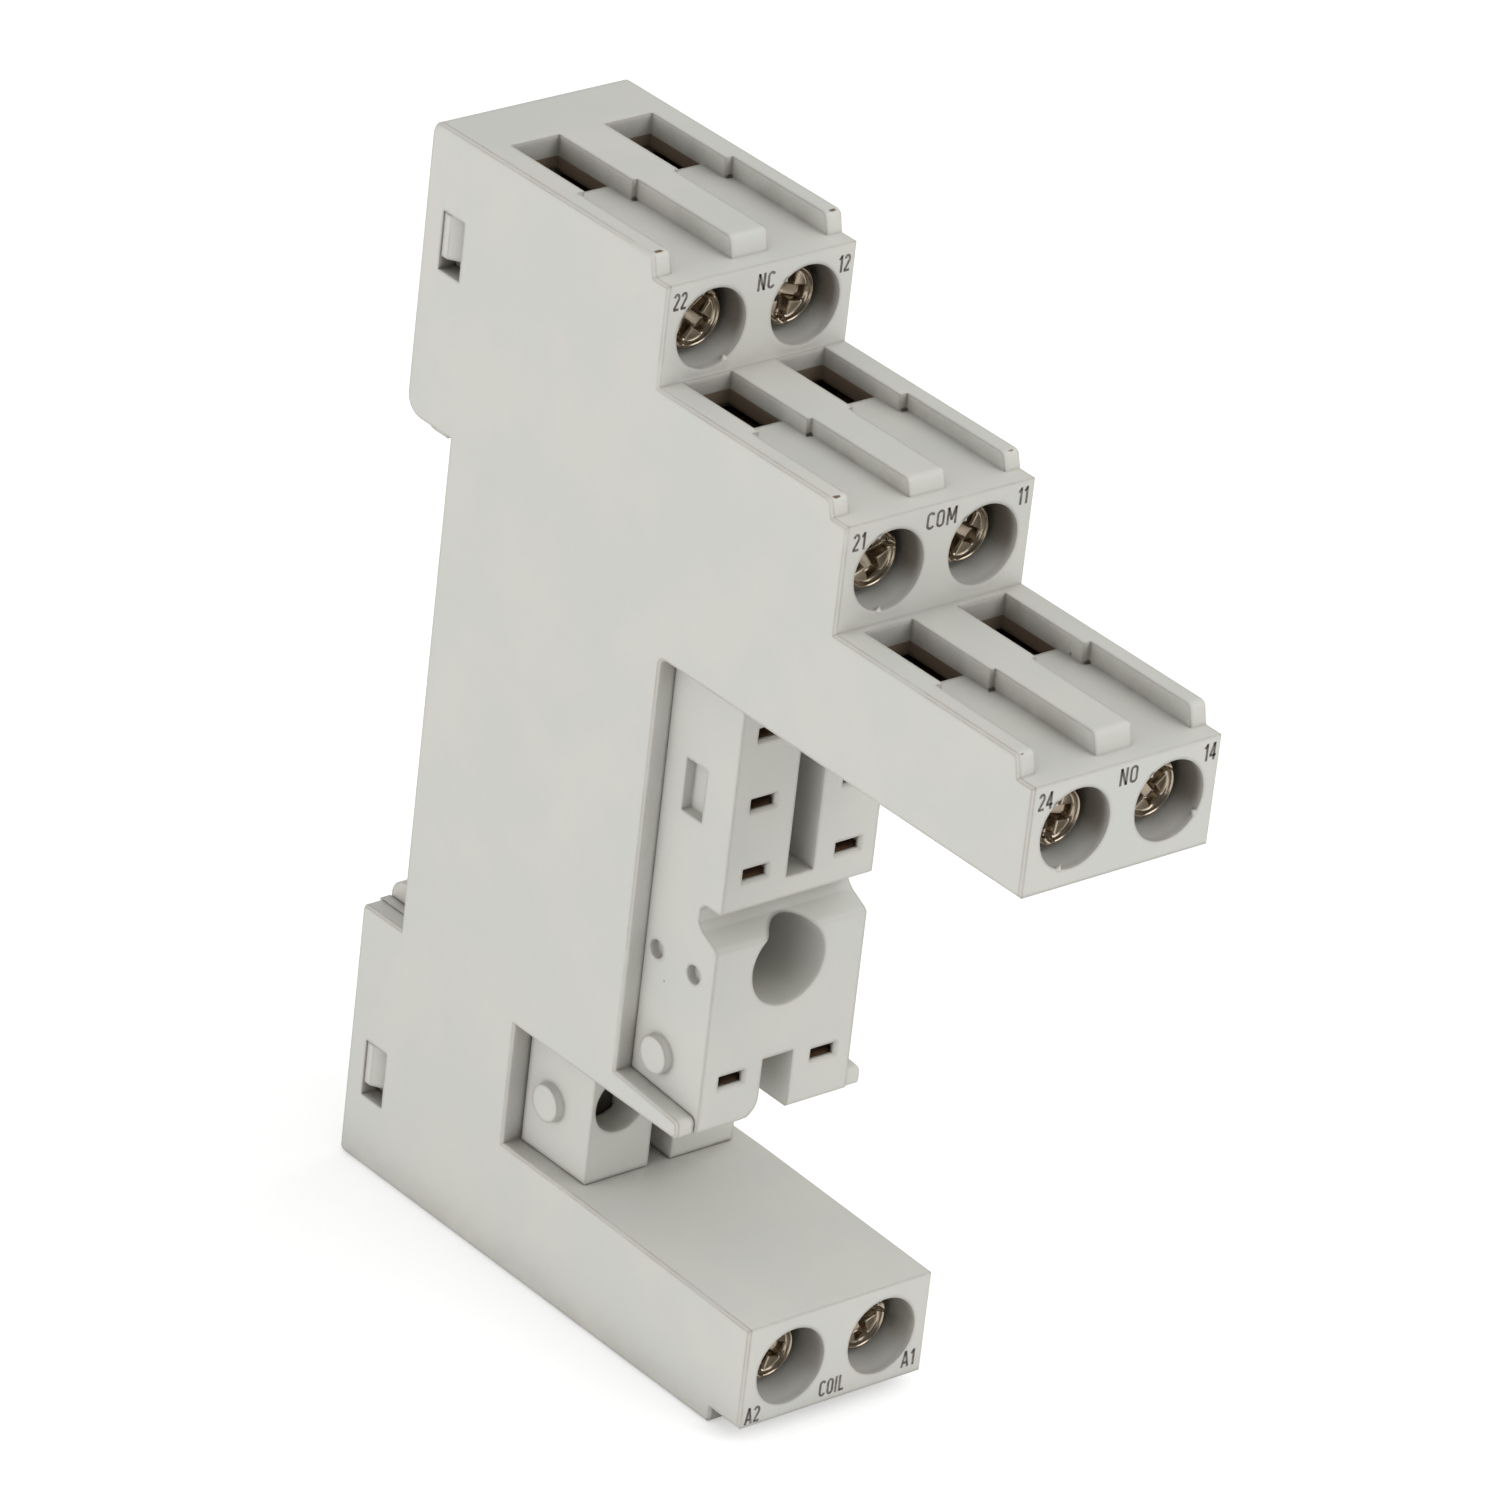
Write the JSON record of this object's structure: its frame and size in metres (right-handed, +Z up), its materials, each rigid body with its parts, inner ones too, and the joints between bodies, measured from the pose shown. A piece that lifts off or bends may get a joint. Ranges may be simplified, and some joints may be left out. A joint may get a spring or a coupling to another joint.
{
  "type": "relay socket",
  "caption": "Slim stepped relay socket for a mounting rail, with screw clamps in tiers above and below an open relay bay, contact slots in the seat and a sprung rail latch behind.",
  "frame": {"origin": "middle of the outline at the level of the lower face", "axes": "+X across the body to the right seen from the front, -Y towards the front where the relay plugs in, +Y towards the rail, +Z up with the coil terminals below"},
  "size_m": [0.0152, 0.062, 0.0747],
  "materials": {
    "housing_plastic": "fine matt",
    "seat_plastic": "fine matt",
    "base_plastic": "fine matt",
    "screw_steel": "nickel plated",
    "clamp_steel": "zinc plated",
    "contact_brass": "bare",
    "spring_steel": "bright"
  },
  "bodies": {
    "socket": {"housing": "housing_plastic", "relay_seat": "seat_plastic", "rail_base": "base_plastic", "latch_spring": "spring_steel", "contact_22": "contact_brass", "contact_12": "contact_brass", "contact_21": "contact_brass", "contact_11": "contact_brass", "contact_24": "contact_brass", "contact_14": "contact_brass", "contact_a2": "contact_brass", "contact_a1": "contact_brass"},
    "latch": {"rail_latch": "base_plastic"},
    "screw_22": {"screw_22": "screw_steel"},
    "clamp_22": {"clamp_22": "clamp_steel"},
    "screw_12": {"screw_12": "screw_steel"},
    "clamp_12": {"clamp_12": "clamp_steel"},
    "screw_21": {"screw_21": "screw_steel"},
    "clamp_21": {"clamp_21": "clamp_steel"},
    "screw_11": {"screw_11": "screw_steel"},
    "clamp_11": {"clamp_11": "clamp_steel"},
    "screw_24": {"screw_24": "screw_steel"},
    "clamp_24": {"clamp_24": "clamp_steel"},
    "screw_14": {"screw_14": "screw_steel"},
    "clamp_14": {"clamp_14": "clamp_steel"},
    "screw_a2": {"screw_a2": "screw_steel"},
    "clamp_a2": {"clamp_a2": "clamp_steel"},
    "screw_a1": {"screw_a1": "screw_steel"},
    "clamp_a1": {"clamp_a1": "clamp_steel"}
  },
  "joints": [
    {"name": "latch_slide", "type": "slide", "parent": "socket", "child": "latch", "axis": [0, 0, -1], "range_m": [0, 0.0018], "stiffness_N_per_m": 500, "springref_m": -0.003, "deforming": ["latch_spring"]},
    {"name": "screw_22_turn", "type": "hinge", "parent": "socket", "child": "screw_22", "pos_m": [-0.00375, 0.00688, 0.06968], "axis": [0, 1, 0], "range_deg": [0, 1800]},
    {"name": "clamp_22_slide", "type": "slide", "parent": "socket", "child": "clamp_22", "axis": [0, -1, 0], "range_m": [0, 0.0025]},
    {"name": "screw_12_turn", "type": "hinge", "parent": "socket", "child": "screw_12", "pos_m": [0.00375, 0.00688, 0.06968], "axis": [0, 1, 0], "range_deg": [0, 1800]},
    {"name": "clamp_12_slide", "type": "slide", "parent": "socket", "child": "clamp_12", "axis": [0, -1, 0], "range_m": [0, 0.0025]},
    {"name": "screw_21_turn", "type": "hinge", "parent": "socket", "child": "screw_21", "pos_m": [-0.00375, -0.01188, 0.0615], "axis": [0, 1, 0], "range_deg": [0, 1800]},
    {"name": "clamp_21_slide", "type": "slide", "parent": "socket", "child": "clamp_21", "axis": [0, -1, 0], "range_m": [0, 0.0025]},
    {"name": "screw_11_turn", "type": "hinge", "parent": "socket", "child": "screw_11", "pos_m": [0.00375, -0.01188, 0.0615], "axis": [0, 1, 0], "range_deg": [0, 1800]},
    {"name": "clamp_11_slide", "type": "slide", "parent": "socket", "child": "clamp_11", "axis": [0, -1, 0], "range_m": [0, 0.0025]},
    {"name": "screw_24_turn", "type": "hinge", "parent": "socket", "child": "screw_24", "pos_m": [-0.00375, -0.03103, 0.05285], "axis": [0, 1, 0], "range_deg": [0, 1800]},
    {"name": "clamp_24_slide", "type": "slide", "parent": "socket", "child": "clamp_24", "axis": [0, -1, 0], "range_m": [0, 0.0025]},
    {"name": "screw_14_turn", "type": "hinge", "parent": "socket", "child": "screw_14", "pos_m": [0.00375, -0.03103, 0.05285], "axis": [0, 1, 0], "range_deg": [0, 1800]},
    {"name": "clamp_14_slide", "type": "slide", "parent": "socket", "child": "clamp_14", "axis": [0, -1, 0], "range_m": [0, 0.0025]},
    {"name": "screw_a2_turn", "type": "hinge", "parent": "socket", "child": "screw_a2", "pos_m": [-0.00375, -0.01178, 0.0047], "axis": [0, 1, 0], "range_deg": [0, 1800]},
    {"name": "clamp_a2_slide", "type": "slide", "parent": "socket", "child": "clamp_a2", "axis": [0, -1, 0], "range_m": [0, 0.0025]},
    {"name": "screw_a1_turn", "type": "hinge", "parent": "socket", "child": "screw_a1", "pos_m": [0.00375, -0.01178, 0.0047], "axis": [0, 1, 0], "range_deg": [0, 1800]},
    {"name": "clamp_a1_slide", "type": "slide", "parent": "socket", "child": "clamp_a1", "axis": [0, -1, 0], "range_m": [0, 0.0025]}
  ],
  "couplings": [
    {"joint": "screw_22_turn", "follows": "clamp_22_slide", "rad_per_m": 12566},
    {"joint": "screw_12_turn", "follows": "clamp_12_slide", "rad_per_m": 12566},
    {"joint": "screw_21_turn", "follows": "clamp_21_slide", "rad_per_m": 12566},
    {"joint": "screw_11_turn", "follows": "clamp_11_slide", "rad_per_m": 12566},
    {"joint": "screw_24_turn", "follows": "clamp_24_slide", "rad_per_m": 12566},
    {"joint": "screw_14_turn", "follows": "clamp_14_slide", "rad_per_m": 12566},
    {"joint": "screw_a2_turn", "follows": "clamp_a2_slide", "rad_per_m": 12566},
    {"joint": "screw_a1_turn", "follows": "clamp_a1_slide", "rad_per_m": 12566}
  ]
}
